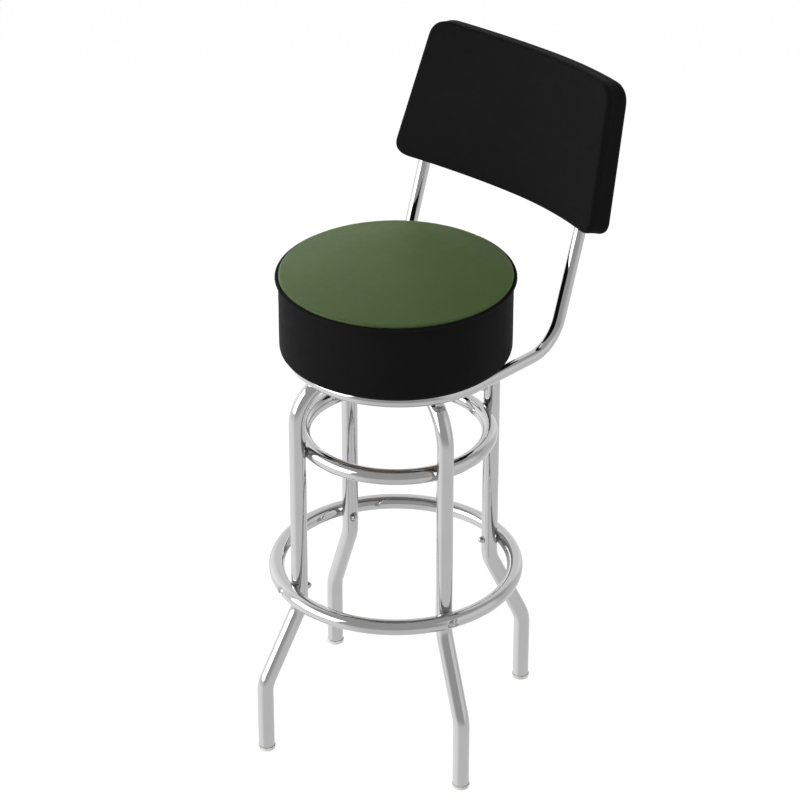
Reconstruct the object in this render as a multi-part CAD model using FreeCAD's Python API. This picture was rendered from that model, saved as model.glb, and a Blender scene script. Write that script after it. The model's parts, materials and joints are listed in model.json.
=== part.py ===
import FreeCAD, Part
import math
import os

from FreeCAD import Placement, Rotation, Vector

# All lengths are millimetres. The swivel axis is upright at X = Y = 0 while the pieces are made,
# the floor is Z = 0 and the front of the seat looks towards -Y.

# General fits
overrun = 5.0
same_point = 0.001
touch_gap = 0.05
thread_gap = 0.1
running_gap = 0.06
hole_gap = 0.3
head_edge_share = 0.25
cross_slot_w = 1.1
cross_slot_share = 0.5

# Legs: round tube, upright between two outward knees and one large bend inwards at the top
leg_names = ("right", "rear", "left", "front")
leg_quarter = 90.0
first_leg_angle = -20.1
leg_tube_d = 25.4
leg_wall = 1.5
leg_radius = 164.5
foot_radius = 226.1
low_knee_z = 118.6
high_knee_z = 248.4
knee_bend_radius = 60.0
leg_top_z = 636.5
top_bend_radius = 72.0

# Pressed flat inner ends of the legs
press_run = 28.0
press_gap = 0.4
flat_end_radius = 24.0
flat_corner_radius = 9.0

# Plastic glides in the feet
glide_d = 27.4
glide_head_h = 6.5
glide_round = 2.2
glide_plug_length = 20.0
glide_core_d = 17.0
glide_rib_h = 2.4
glide_rib_count = 3

# Rings: the foot ring goes round the outside of the legs, the upper ring sits inside them
ring_tube_d = 24.4
ring_wall = 1.5
foot_ring_outset = 20.8
foot_ring_z = 279.6
upper_ring_inset = 22.0
upper_ring_z = 516.5

# Pressed dents that take the bolt heads and nuts
dent_floor_d = 14.0
dent_flare = 3.0
ring_dent_depth = 3.4
leg_dent_floor_d = 13.0
leg_dent_flare = 2.0
leg_dent_depth = 2.0

# Ring fasteners
ring_bolt_d = 6.0
button_head_d = 11.0
button_head_h = 3.4
cap_nut_across = 10.0
cap_nut_hex_h = 4.6
cap_nut_dome_d = 9.0
cap_nut_dome_h = 4.2
cap_nut_thread_depth = 6.0
insert_d = 9.0
insert_length = 11.0
insert_collar_d = 11.6
insert_collar_h = 2.0
screw_reach = 8.0

# Swivel
plate_t = 2.0
lower_plate_radius = 82.0
upper_plate_side = 150.0
upper_plate_corner = 14.0
ball_d = 7.94
ball_count = 16
race_radius = 72.0
race_width = 13.0
race_lip_gap = 1.1
race_gap = 0.12
retainer_t = 1.0
retainer_width = 15.0
retainer_hole_gap = 0.35
pivot_d = 12.0
pivot_head_d = 22.0
pivot_head_h = 3.0
pivot_washer_d = 19.0
pivot_washer_t = 1.5
pivot_end_gap = 0.15

# Bolts that hold the legs to the lower plate
leg_bolt_d = 6.0
leg_bolt_across = 10.0
leg_bolt_head_h = 4.0
leg_bolt_radii = (34.0, 54.0)
leg_nut_h = 5.0
leg_bolt_end = 0.8
lock_washer_d = 11.0
lock_washer_t = 1.6

# Back frame: one bent tube that runs round under the seat and up into the backrest
frame_tube_d = 19.05
frame_wall = 1.5
frame_z = 651.8
frame_half_width = 160.0
frame_front_centre = 6.9
frame_corner_y = 172.9
frame_bend_radius = 62.5
post_lean = 17.7
post_bend_radius = 60.0
post_bend_run = 4.0
post_in_pad = 140.0

# Seat cushion
cover_t = 1.2
seat_radius = 174.5
seat_foot_round = 7.0
welt_z = 779.0
welt_d = 6.0
welt_radius = 176.65
crown_h = 12.0
crown_edge_round = 7.0
hem_radius = 128.0
board_t = 12.0
board_hole_d = 44.0

# Screws up into the seat board
seat_screw_d = 6.0
seat_screw_head_d = 11.5
seat_screw_head_h = 3.4
plate_screw_spacing = 126.0
frame_screw_angle = 65.0
frame_screw_y = 20.0
saddle_d = 14.0
saddle_t = 1.6
t_nut_flange_d = 16.0
t_nut_flange_t = 1.2
t_nut_barrel_d = 8.0
t_nut_length = 10.0

# Backrest pad: curved round the sitter, wider than the posts and narrower at the top
pad_lean = 15.1
pad_height = 222.4
pad_side_bottom = 44.5
pad_side_top = 20.5
pad_curve_radius = 600.0
pad_thickness = 39.0
pad_crown = 5.0
pad_top_corner_radius = 32.0
pad_bottom_corner_radius = 14.0
pad_edge_round = 9.0
pad_bottom_along_post = 191.5
post_depth = 20.5
back_board_t = 5.5
back_board_inset = 18.0
back_screw_d = 5.0
back_screw_head_d = 11.0
back_screw_head_h = 2.8
back_screw_heights = (42.0, 118.0)
back_nut_flange_d = 15.0
back_nut_barrel_d = 7.0

# Sizes that follow from the ones above
leg_r = leg_tube_d / 2
leg_bore_r = leg_r - leg_wall
ring_r = ring_tube_d / 2
frame_r = frame_tube_d / 2
foot_ring_radius = leg_radius + foot_ring_outset
upper_ring_radius = leg_radius - upper_ring_inset
flat_t = 2 * leg_wall + press_gap
flat_w = math.pi * (leg_tube_d - leg_wall) / 2 + leg_wall
leg_top_face_z = leg_top_z + leg_r
leg_end_radius = leg_radius - top_bend_radius
flat_start_radius = leg_end_radius - press_run
seat_underside_z = frame_z + frame_r
board_z = seat_underside_z + cover_t
lower_plate_z = leg_top_face_z
upper_plate_z = board_z - plate_t
race_z = (lower_plate_z + plate_t + upper_plate_z) / 2
leg_angles = [first_leg_angle + leg_quarter * i for i in range(len(leg_names))]

# The finished part stands centred on its own footprint box, so the swivel axis lies forward of the origin
lean = math.radians(post_lean)
pad_tilt = math.radians(pad_lean)
pad_half_bottom = frame_half_width + pad_side_bottom
pad_half_top = frame_half_width + pad_side_top
post_bend_y = frame_corner_y + pad_bottom_along_post * math.sin(lean)
post_bend_z = frame_z + pad_bottom_along_post * math.cos(lean)
post_line_depth = math.sqrt((pad_curve_radius + post_depth) ** 2 - frame_half_width ** 2) - pad_curve_radius
pad_base_y = post_bend_y + post_bend_run * math.sin(pad_tilt) - post_line_depth * math.cos(pad_tilt)
pad_base_z = post_bend_z + post_bend_run * math.cos(pad_tilt) + post_line_depth * math.sin(pad_tilt)
rear_edge = pad_base_y + pad_height * math.sin(pad_tilt) + pad_thickness * math.cos(pad_tilt)
rear_reach = rear_edge - pad_edge_round * (math.sin(pad_tilt) + math.cos(pad_tilt) - 1)
front_reach = foot_radius * max(abs(math.sin(math.radians(a))) for a in leg_angles) + glide_d / 2
axis_forward = (rear_reach - front_reach) / 2


def turned(shape, angle):
    """A copy turned about the swivel axis by an angle in degrees."""
    copy = shape.copy()
    copy.rotate(Vector(0, 0, 0), Vector(0, 0, 1), angle)
    return copy


def moved(shape, x, y, z):
    copy = shape.copy()
    copy.translate(Vector(x, y, z))
    return copy


def radial_rod(radius, inner, outer, z):
    """A cylinder along local +X between two distances from the swivel axis."""
    return Part.makeCylinder(radius, outer - inner, Vector(inner, 0, z), Vector(1, 0, 0))


def domed_head(head_d, head_h):
    """Low domed head hanging below Z = 0, with a short straight edge."""
    r = head_d / 2
    edge = head_h * head_edge_share
    rise = head_h - edge
    dome_r = (r ** 2 + rise ** 2) / (2 * rise)
    a = math.atan2(r, dome_r - rise) / 2
    via = Vector(dome_r * math.sin(a), 0, dome_r - head_h - dome_r * math.cos(a))
    face = Part.Face(Part.Wire([
        Part.LineSegment(Vector(0, 0, 0), Vector(r, 0, 0)).toShape(),
        Part.LineSegment(Vector(r, 0, 0), Vector(r, 0, -edge)).toShape(),
        Part.Arc(Vector(r, 0, -edge), via, Vector(0, 0, -head_h)).toShape(),
        Part.LineSegment(Vector(0, 0, -head_h), Vector(0, 0, 0)).toShape(),
    ]))
    return face.revolve(Vector(0, 0, 0), Vector(0, 0, 1), 360)


def domed_screw(shank_d, length, head_d, head_h, crossed=True):
    """Screw with its shank along +Z and its domed head below Z = 0, with a cross slot if asked."""
    screw = Part.makeCylinder(shank_d / 2, length).fuse(domed_head(head_d, head_h)).removeSplitter()
    if not crossed:
        return screw
    arm = head_d * cross_slot_share
    depth = head_h * cross_slot_share
    slots = []
    for x, y in ((arm, cross_slot_w), (cross_slot_w, arm)):
        slots.append(Part.makeBox(x, y, depth + overrun, Vector(-x / 2, -y / 2, -head_h - overrun)))
    return screw.cut(slots)


def pointed(shape, base, direction):
    """A shape made along +Z, carried to a base with +Z along a direction."""
    copy = shape.copy()
    copy.Placement = Placement(base, Rotation(Vector(0, 0, 1), direction))
    return copy


def radial_revolve(points, z):
    """A solid of revolution about the local X axis, from (distance along X, radius) points."""
    corners = [Vector(x, 0, z + r) for x, r in points]
    face = Part.Face(Part.makePolygon(corners + corners[:1]))
    return face.revolve(Vector(0, 0, z), Vector(1, 0, 0), 360)


def hexagon(across, height, base, direction=Vector(0, 0, 1)):
    """A hexagonal prism, given across its flats."""
    corner = across / math.sqrt(3)
    angles = [math.radians(60 * i) for i in range(6)]
    ring = [Vector(corner * math.cos(a), corner * math.sin(a), 0) for a in angles]
    prism = Part.Face(Part.makePolygon(ring + ring[:1])).extrude(Vector(0, 0, height))
    return pointed(prism, base, direction)


def rounded_path(points, radii, closed=False):
    """Straight runs joined by tangent arcs; radii belong to the inner points, or to all when closed."""
    count = len(points)
    bends = range(count) if closed else range(1, count - 1)
    starts, ends, arcs = {}, {}, {}
    for i in bends:
        before = (points[i] - points[i - 1]).normalize()
        after = (points[(i + 1) % count] - points[i]).normalize()
        turn = before.getAngle(after)
        radius = radii[i] if closed else radii[i - 1]
        tangent = radius * math.tan(turn / 2)
        middle = (after - before).normalize() * (radius / math.cos(turn / 2) - radius)
        starts[i] = points[i] - before * tangent
        ends[i] = points[i] + after * tangent
        arcs[i] = Part.Arc(starts[i], points[i] + middle, ends[i]).toShape()
    edges = []
    last = count if closed else count - 1
    for i in range(last):
        j = (i + 1) % count
        run_start = ends.get(i, points[i])
        run_end = starts.get(j, points[j])
        if run_start.distanceToPoint(run_end) > same_point:
            edges.append(Part.LineSegment(run_start, run_end).toShape())
        if j in arcs:
            edges.append(arcs[j])
    return Part.Wire(edges)


def swept_rod(path, radius):
    """A round bar along a path that starts square to its first run."""
    start = path.OrderedVertexes[0].Point
    first = path.OrderedEdges[0]
    along = first.tangentAt(first.FirstParameter)
    section = Part.Wire([Part.makeCircle(radius, start, along)])
    return path.makePipeShell([section], True, False)


def dent(floor_d, flare, depth, surface, inward, z, grow=0.0):
    """A pressed dent with a flat floor and a flared mouth; inward is +1 when it goes towards larger X."""
    floor = surface + inward * (depth + grow)
    mouth = surface - inward * overrun
    bottom_r = floor_d / 2 + grow
    rise = (depth + grow) + overrun
    top_r = bottom_r + flare / depth * rise
    return radial_revolve([(floor, 0), (floor, bottom_r), (mouth, top_r), (mouth, 0)], z)


def leg_saddle(z, grow=0.0):
    """The upright leg tube as a cutter for what nests against it."""
    height = ring_tube_d + 2 * overrun
    return Part.makeCylinder(leg_r + touch_gap + grow, height, Vector(leg_radius, 0, z - height / 2))


def leg_path():
    points = [
        Vector(foot_radius, 0, glide_head_h),
        Vector(foot_radius, 0, low_knee_z),
        Vector(leg_radius, 0, high_knee_z),
        Vector(leg_radius, 0, leg_top_z),
        Vector(leg_end_radius, 0, leg_top_z),
    ]
    return rounded_path(points, [knee_bend_radius, knee_bend_radius, top_bend_radius])


def tube_section(x, radius):
    """Circle in the plane X = x, in six arcs that answer the six edges of the flat section."""
    def at(degrees):
        a = math.radians(degrees)
        return Vector(x, radius * math.cos(a), leg_top_z + radius * math.sin(a))
    corners = [120, 60, 0, -60, -120, -180, -240]
    arcs = [Part.Arc(at(a), at((a + b) / 2), at(b)).toShape() for a, b in zip(corners, corners[1:])]
    return Part.Wire(arcs)


def flat_section(x, width, thickness, top):
    """Flattened tube in the plane X = x: two level sides joined by round edges."""
    r = thickness / 2
    half = width / 2 - r
    mid = top - r
    lean45 = r * math.sqrt(0.5)

    def corner(side, lift):
        return Vector(x, side * half, mid + lift * r)

    def tip(side):
        return Vector(x, side * (half + r), mid)

    def via(side, lift):
        return Vector(x, side * (half + lean45), mid + lift * lean45)

    return Part.Wire([
        Part.LineSegment(corner(-1, 1), corner(1, 1)).toShape(),
        Part.Arc(corner(1, 1), via(1, 1), tip(1)).toShape(),
        Part.Arc(tip(1), via(1, -1), corner(1, -1)).toShape(),
        Part.LineSegment(corner(1, -1), corner(-1, -1)).toShape(),
        Part.Arc(corner(-1, -1), via(-1, -1), tip(-1)).toShape(),
        Part.Arc(tip(-1), via(-1, 1), corner(-1, 1)).toShape(),
    ])


def leg_end_outer():
    """The stretch that is pressed from round to flat, and the flat tongue beyond it."""
    flat = flat_section(flat_start_radius, flat_w, flat_t, leg_top_face_z)
    squeeze = Part.makeLoft([tube_section(leg_end_radius, leg_r), flat], True, True)
    tongue = Part.Face(flat).extrude(Vector(flat_end_radius - flat_start_radius, 0, 0))
    outline = rounded_path([
        Vector(flat_end_radius, -flat_w / 2, leg_top_face_z - leg_tube_d),
        Vector(flat_end_radius, flat_w / 2, leg_top_face_z - leg_tube_d),
        Vector(flat_start_radius + overrun, flat_w / 2, leg_top_face_z - leg_tube_d),
        Vector(flat_start_radius + overrun, -flat_w / 2, leg_top_face_z - leg_tube_d),
    ], [flat_corner_radius, flat_corner_radius, touch_gap, touch_gap], True)
    tongue = tongue.common(Part.Face(outline).extrude(Vector(0, 0, 2 * leg_tube_d)))
    return squeeze.fuse(tongue)


def leg_end_bore():
    slit_top = leg_top_face_z - leg_wall
    slit = flat_section(flat_start_radius, flat_w - 2 * leg_wall, press_gap, slit_top)
    return Part.makeLoft([tube_section(leg_end_radius, leg_bore_r), slit], True, True)


def leg_dent(grow=0.0):
    """The pressed seat of a cap nut on the inner side of the leg."""
    return dent(leg_dent_floor_d, leg_dent_flare, leg_dent_depth, leg_radius - leg_r, 1, foot_ring_z, grow)


def leg():
    """One leg: bent tube, open at the foot, pressed flat where it bolts to the swivel."""
    path = leg_path()
    outer = swept_rod(path, leg_r).fuse(leg_end_outer())
    bore = swept_rod(path, leg_bore_r).fuse(leg_end_bore())
    outer = outer.cut(leg_dent())
    bore = bore.cut(leg_dent(leg_wall))
    inner_side = leg_radius - leg_r - overrun
    outer_side = leg_radius + leg_r + overrun
    bolt_hole = radial_rod(ring_bolt_d / 2 + hole_gap, inner_side, outer_side, foot_ring_z)
    insert_hole = radial_rod(insert_d / 2 + touch_gap, inner_side, leg_radius, upper_ring_z)
    holes = [bolt_hole, insert_hole]
    for r in leg_bolt_radii:
        base = Vector(r, 0, leg_top_face_z - flat_t - overrun)
        holes.append(Part.makeCylinder(leg_bolt_d / 2 + hole_gap, flat_t + 2 * overrun, base))
    return outer.cut([bore] + holes).removeSplitter()


def leg_glide():
    """Plastic foot: rounded head under the tube and a ribbed plug up its bore."""
    head_r = glide_d / 2
    flat_r = head_r - glide_round
    face = Part.Face(Part.Wire([
        Part.LineSegment(Vector(0, 0, 0), Vector(flat_r, 0, 0)).toShape(),
        Part.Arc(Vector(flat_r, 0, 0),
                 Vector(flat_r + glide_round * math.sqrt(0.5), 0, glide_round * (1 - math.sqrt(0.5))),
                 Vector(head_r, 0, glide_round)).toShape(),
        Part.LineSegment(Vector(head_r, 0, glide_round), Vector(head_r, 0, glide_head_h)).toShape(),
        Part.LineSegment(Vector(head_r, 0, glide_head_h), Vector(0, 0, glide_head_h)).toShape(),
        Part.LineSegment(Vector(0, 0, glide_head_h), Vector(0, 0, 0)).toShape(),
    ]))
    foot = face.revolve(Vector(0, 0, 0), Vector(0, 0, 1), 360)
    plug = Part.makeCylinder(glide_core_d / 2, glide_plug_length, Vector(0, 0, glide_head_h))
    pitch = (glide_plug_length - glide_rib_h) / glide_rib_count
    ribs = []
    for i in range(glide_rib_count):
        z = glide_head_h + (i + 1) * pitch - glide_rib_h / 2
        ribs.append(Part.makeCylinder(leg_bore_r - touch_gap, glide_rib_h, Vector(0, 0, z)))
    return moved(foot.fuse([plug] + ribs).removeSplitter(), foot_radius, 0, 0)


def ring(radius, z, outside):
    """A tube ring with a saddle pressed in for each leg and a dent for each bolt head across from it."""
    side = 1 if outside else -1
    head_side = radius + side * ring_r
    saddles, deep_saddles, dents, deep_dents, holes = [], [], [], [], []
    for angle in leg_angles:
        saddles.append(turned(leg_saddle(z), angle))
        deep_saddles.append(turned(leg_saddle(z, ring_wall), angle))
        dents.append(turned(dent(dent_floor_d, dent_flare, ring_dent_depth, head_side, -side, z), angle))
        deep = dent(dent_floor_d, dent_flare, ring_dent_depth, head_side, -side, z, ring_wall)
        deep_dents.append(turned(deep, angle))
        reach = ring_r + overrun
        hole = radial_rod(ring_bolt_d / 2 + hole_gap, radius - reach, radius + reach, z)
        holes.append(turned(hole, angle))
    outer = Part.makeTorus(radius, ring_r, Vector(0, 0, z)).cut(saddles + dents)
    bore = Part.makeTorus(radius, ring_r - ring_wall, Vector(0, 0, z)).cut(deep_saddles + deep_dents)
    return outer.cut([bore] + holes)


def foot_ring_seat():
    return foot_ring_radius + ring_r - ring_dent_depth


def cap_nut_seat():
    return leg_radius - leg_r + leg_dent_depth


def foot_ring_bolt():
    """Bolt through ring and leg, from the dent outside to the cap nut inside."""
    seat = foot_ring_seat()
    length = seat - cap_nut_seat() + cap_nut_thread_depth - touch_gap
    bolt = domed_screw(ring_bolt_d, length, button_head_d, button_head_h, False)
    return pointed(bolt, Vector(seat, 0, foot_ring_z), Vector(-1, 0, 0))


def cap_nut():
    """Hexagon closed by a dome, screwed on from the inner side of the leg."""
    inward = Vector(-1, 0, 0)
    seat = Vector(cap_nut_seat(), 0, foot_ring_z)
    body = hexagon(cap_nut_across, cap_nut_hex_h, seat, inward)
    dome = pointed(domed_head(cap_nut_dome_d, cap_nut_dome_h), seat + inward * cap_nut_hex_h, inward * -1)
    thread = Part.makeCylinder(ring_bolt_d / 2 + thread_gap, cap_nut_thread_depth, seat, inward)
    return body.fuse(dome).cut(thread)


def upper_ring_seat():
    return upper_ring_radius - ring_r + ring_dent_depth


def upper_ring_screw():
    """Screw from inside the upper ring into the threaded insert of the leg."""
    seat = upper_ring_seat()
    screw = domed_screw(ring_bolt_d, leg_radius - leg_r + screw_reach - seat, button_head_d, button_head_h)
    return pointed(screw, Vector(seat, 0, upper_ring_z), Vector(1, 0, 0))


def leg_insert():
    start = leg_radius - math.sqrt(leg_r ** 2 - (insert_d / 2) ** 2) + touch_gap
    collar = leg_radius - math.sqrt(leg_bore_r ** 2 - (insert_collar_d / 2) ** 2) + touch_gap
    body = radial_rod(insert_d / 2, start, start + insert_length, upper_ring_z)
    body = body.fuse(radial_rod(insert_collar_d / 2, collar, collar + insert_collar_h, upper_ring_z))
    return body.cut(radial_rod(ring_bolt_d / 2 + thread_gap, start, start + insert_length, upper_ring_z))


def flat_ring(radius, width, height, base_z):
    """A ring of rectangular section about the swivel axis."""
    outer = Part.makeCylinder(radius + width / 2, height, Vector(0, 0, base_z))
    inner = Part.makeCylinder(radius - width / 2, height, Vector(0, 0, base_z))
    return outer.cut(inner)


def race_ridge(face_z, up):
    """Raised annular track with a round groove for the balls."""
    height = abs(race_z - face_z) - race_lip_gap
    base = face_z if up else face_z - height
    groove = Part.makeTorus(race_radius, ball_d / 2 + race_gap, Vector(0, 0, race_z))
    return flat_ring(race_radius, race_width, height, base).cut(groove)


def leg_bolt_places():
    places = []
    for angle in leg_angles:
        a = math.radians(angle)
        places += [(r * math.cos(a), r * math.sin(a)) for r in leg_bolt_radii]
    return places


def swivel_lower_plate():
    plate = Part.makeCylinder(lower_plate_radius, plate_t, Vector(0, 0, lower_plate_z))
    plate = plate.fuse(race_ridge(lower_plate_z + plate_t, True))
    holes = [Part.makeCylinder(pivot_d / 2 + touch_gap, plate_t, Vector(0, 0, lower_plate_z))]
    for x, y in leg_bolt_places():
        holes.append(Part.makeCylinder(leg_bolt_d / 2 + hole_gap, plate_t, Vector(x, y, lower_plate_z)))
    return plate.cut(holes).removeSplitter()


def plate_screw_places():
    half = plate_screw_spacing / 2
    return [(x, y) for x in (-half, half) for y in (-half, half)]


def swivel_upper_plate():
    half = upper_plate_side / 2
    quarters = ((-half, -half), (half, -half), (half, half), (-half, half))
    corners = [Vector(x, y, upper_plate_z) for x, y in quarters]
    plate = Part.Face(rounded_path(corners, [upper_plate_corner] * 4, True)).extrude(Vector(0, 0, plate_t))
    plate = plate.fuse(race_ridge(upper_plate_z, False))
    holes = [Part.makeCylinder(pivot_d / 2 + running_gap, plate_t, Vector(0, 0, upper_plate_z))]
    for x, y in plate_screw_places():
        holes.append(Part.makeCylinder(seat_screw_d / 2 + hole_gap, plate_t, Vector(x, y, upper_plate_z)))
    return plate.cut(holes).removeSplitter()


def ball_places():
    step = 360 / ball_count
    return [(race_radius * math.cos(math.radians(step * i)), race_radius * math.sin(math.radians(step * i)))
            for i in range(ball_count)]


def swivel_balls():
    return [Part.makeSphere(ball_d / 2, Vector(x, y, race_z)) for x, y in ball_places()]


def ball_retainer():
    """Flat ring that keeps the balls apart and turns with them."""
    base = race_z - retainer_t / 2
    hole_r = ball_d / 2 + retainer_hole_gap
    holes = [Part.makeCylinder(hole_r, retainer_t, Vector(x, y, base)) for x, y in ball_places()]
    return flat_ring(race_radius, retainer_width, retainer_t, base).cut(holes)


def pivot_top_z():
    return board_z + pivot_end_gap + pivot_washer_t + pivot_end_gap


def swivel_pivot():
    """Headed pin that keeps the two plates together."""
    base = lower_plate_z - pivot_head_h
    head = Part.makeCylinder(pivot_head_d / 2, pivot_head_h, Vector(0, 0, base))
    shank = Part.makeCylinder(pivot_d / 2, pivot_top_z() + pivot_head_h - base, Vector(0, 0, base))
    upset = Part.makeCylinder(pivot_head_d / 2, pivot_head_h, Vector(0, 0, pivot_top_z()))
    return head.fuse([shank, upset]).removeSplitter()


def pivot_washer():
    base = Vector(0, 0, board_z + pivot_end_gap)
    disc = Part.makeCylinder(pivot_washer_d / 2, pivot_washer_t, base)
    return disc.cut(Part.makeCylinder(pivot_d / 2 + hole_gap, pivot_washer_t, base))


def leg_bolts():
    top = lower_plate_z + plate_t + leg_nut_h + leg_bolt_end
    seat = leg_top_face_z - flat_t - lock_washer_t
    bolts = []
    for x, y in leg_bolt_places():
        shank = Part.makeCylinder(leg_bolt_d / 2, top - seat, Vector(x, y, seat))
        head = hexagon(leg_bolt_across, leg_bolt_head_h, Vector(x, y, seat - leg_bolt_head_h))
        bolts.append(shank.fuse(head).removeSplitter())
    return bolts


def leg_lock_washers():
    washers = []
    for x, y in leg_bolt_places():
        base = Vector(x, y, leg_top_face_z - flat_t - lock_washer_t)
        disc = Part.makeCylinder(lock_washer_d / 2, lock_washer_t, base)
        washers.append(disc.cut(Part.makeCylinder(leg_bolt_d / 2 + thread_gap, lock_washer_t, base)))
    return washers


def leg_weld_nuts():
    nuts = []
    for x, y in leg_bolt_places():
        base = Vector(x, y, lower_plate_z + plate_t)
        nut = hexagon(leg_bolt_across, leg_nut_h, base)
        nuts.append(nut.cut(Part.makeCylinder(leg_bolt_d / 2 + thread_gap, leg_nut_h, base)))
    return nuts


def frame_screw_places():
    """Two screws in the front arc and one in each side arm of the back frame."""
    a = math.radians(frame_screw_angle)
    front_x = frame_half_width * math.sin(a)
    front_y = frame_front_centre - frame_half_width * math.cos(a)
    return [(-front_x, front_y), (front_x, front_y), (-frame_half_width, frame_screw_y),
            (frame_half_width, frame_screw_y)]


def frame_path():
    """Left post, left arm, front arc, right arm, right post; the posts straighten a little below the pad."""
    def arm_and_post(side):
        corner = Vector(side * frame_half_width, frame_corner_y, frame_z)
        bend = Vector(side * frame_half_width, post_bend_y, post_bend_z)
        top = bend + Vector(0, math.sin(pad_tilt), math.cos(pad_tilt)) * (post_bend_run + post_in_pad)
        front = Vector(side * frame_half_width, frame_front_centre, frame_z)
        return rounded_path([top, bend, corner, front], [post_bend_radius, frame_bend_radius]).OrderedEdges

    def arc_edge(first, last):
        def at(degrees):
            a = math.radians(degrees)
            return Vector(frame_half_width * math.cos(a),
                          frame_front_centre + frame_half_width * math.sin(a), frame_z)
        return Part.Arc(at(first), at((first + last) / 2), at(last)).toShape()

    edges = arm_and_post(-1) + [arc_edge(180, 270), arc_edge(270, 360)]
    edges += list(reversed(arm_and_post(1)))
    return Part.Wire(Part.__sortEdges__(edges))


def post_screw_axes():
    """Start, inside the posts, and direction of each backrest screw in the pad's own frame."""
    axes = []
    for side in (-1, 1):
        out = Vector(side * frame_half_width, pad_curve_radius + post_line_depth, 0).normalize()
        for height in back_screw_heights:
            axes.append((Vector(side * frame_half_width, post_line_depth, height), out))
    return axes


def from_pad(shape):
    """Carry a shape from the pad's own frame, upright with its front at Y = 0, to its leaning place."""
    copy = shape.copy()
    copy.rotate(Vector(0, 0, 0), Vector(1, 0, 0), -pad_lean)
    copy.translate(Vector(0, pad_base_y, pad_base_z))
    return copy


def back_frame():
    outer = swept_rod(frame_path(), frame_r)
    bore = swept_rod(frame_path(), frame_r - frame_wall)
    holes = []
    for x, y in frame_screw_places():
        base = Vector(x, y, frame_z - frame_tube_d)
        holes.append(Part.makeCylinder(seat_screw_d / 2 + hole_gap, 2 * frame_tube_d, base))
    for middle, out in post_screw_axes():
        start = middle - out * frame_tube_d
        drill = Part.makeCylinder(back_screw_d / 2 + hole_gap, 2 * frame_tube_d, start, out)
        holes.append(from_pad(drill))
    return outer.cut([bore] + holes)


def seat_screw(x, y, seat_z):
    """Screw up into the seat board, its head below seat_z."""
    length = board_z + board_t - t_nut_flange_t - seat_z
    screw = domed_screw(seat_screw_d, length, seat_screw_head_d, seat_screw_head_h)
    return moved(screw, x, y, seat_z)


def swivel_screws():
    return [seat_screw(x, y, upper_plate_z) for x, y in plate_screw_places()]


def saddle_seat_z():
    return frame_z - frame_r - saddle_t


def frame_screws():
    return [seat_screw(x, y, saddle_seat_z()) for x, y in frame_screw_places()]


def saddle_washers():
    """Washers hollowed on top to fit the round tube."""
    washers = []
    tube = swept_rod(frame_path(), frame_r + touch_gap)
    for x, y in frame_screw_places():
        base = Vector(x, y, saddle_seat_z())
        disc = Part.makeCylinder(saddle_d / 2, saddle_t + frame_r / 2, base)
        hole = Part.makeCylinder(seat_screw_d / 2 + hole_gap, frame_tube_d, base)
        washers.append(disc.cut([tube, hole]))
    return washers


def t_nut(x, y):
    """Flanged nut let in flush with the top of the seat board."""
    top = board_z + board_t
    flange = Part.makeCylinder(t_nut_flange_d / 2, t_nut_flange_t, Vector(x, y, top - t_nut_flange_t))
    barrel = Part.makeCylinder(t_nut_barrel_d / 2, t_nut_length, Vector(x, y, top - t_nut_length))
    bore = Part.makeCylinder(seat_screw_d / 2 + thread_gap, t_nut_length, Vector(x, y, top - t_nut_length))
    return flange.fuse(barrel).cut(bore)


def seat_t_nuts():
    return [t_nut(x, y) for x, y in plate_screw_places() + frame_screw_places()]


def seat_board():
    """Plywood disc that fills the foot of the cushion."""
    board = cushion_solid(cover_t + touch_gap).common(slab(board_z, board_z + board_t))
    cuts = [Part.makeCylinder(board_hole_d / 2, board_t, Vector(0, 0, board_z))]
    for x, y in plate_screw_places() + frame_screw_places():
        cuts.append(Part.makeCylinder(t_nut_barrel_d / 2 + touch_gap, board_t, Vector(x, y, board_z)))
        cuts.append(Part.makeCylinder(t_nut_flange_d / 2 + touch_gap, t_nut_flange_t + overrun,
                                      Vector(x, y, board_z + board_t - t_nut_flange_t)))
    return board.cut(cuts)


def seat_profile(inset):
    """Half outline of the cushion from the middle of its underside up to the welt, set in by an inset."""
    side_r = seat_radius - inset
    foot_z = seat_underside_z + inset
    r = seat_foot_round - inset
    half = math.sqrt(0.5)
    via = Vector(side_r - r + r * half, 0, foot_z + r * (1 - half))
    return [
        Part.LineSegment(Vector(0, 0, foot_z), Vector(side_r - r, 0, foot_z)).toShape(),
        Part.Arc(Vector(side_r - r, 0, foot_z), via, Vector(side_r, 0, foot_z + r)).toShape(),
        Part.LineSegment(Vector(side_r, 0, foot_z + r), Vector(side_r, 0, welt_z)).toShape(),
    ]


def crown_edges(side_r, base_z, rise):
    """Rolled edge and shallow dome from the side up to the middle of the top."""
    half = math.sqrt(0.5)
    r = crown_edge_round
    shoulder = Vector(side_r - r, 0, base_z + r)
    roll = Part.Arc(Vector(side_r, 0, base_z), Vector(side_r - r + r * half, 0, base_z + r * half), shoulder)
    centre = Vector(0, 0, base_z + rise)
    chord = shoulder.x
    drop = centre.z - shoulder.z
    dome_r = (chord ** 2 + drop ** 2) / (2 * drop)
    a = math.atan2(chord, dome_r - drop) / 2
    middle = Vector(dome_r * math.sin(a), 0, centre.z - dome_r * (1 - math.cos(a)))
    return [roll.toShape(), Part.Arc(shoulder, middle, centre).toShape()]


def cushion_solid(inset):
    """Whole seat cushion, from the underside to the crown, set in by an inset."""
    side_r = seat_radius - inset
    edges = seat_profile(inset)
    edges += crown_edges(side_r, welt_z, crown_h - inset)
    foot = Vector(0, 0, seat_underside_z + inset)
    edges.append(Part.LineSegment(Vector(0, 0, welt_z + crown_h - inset), foot).toShape())
    return Part.Face(Part.Wire(edges)).revolve(Vector(0, 0, 0), Vector(0, 0, 1), 360)


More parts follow.
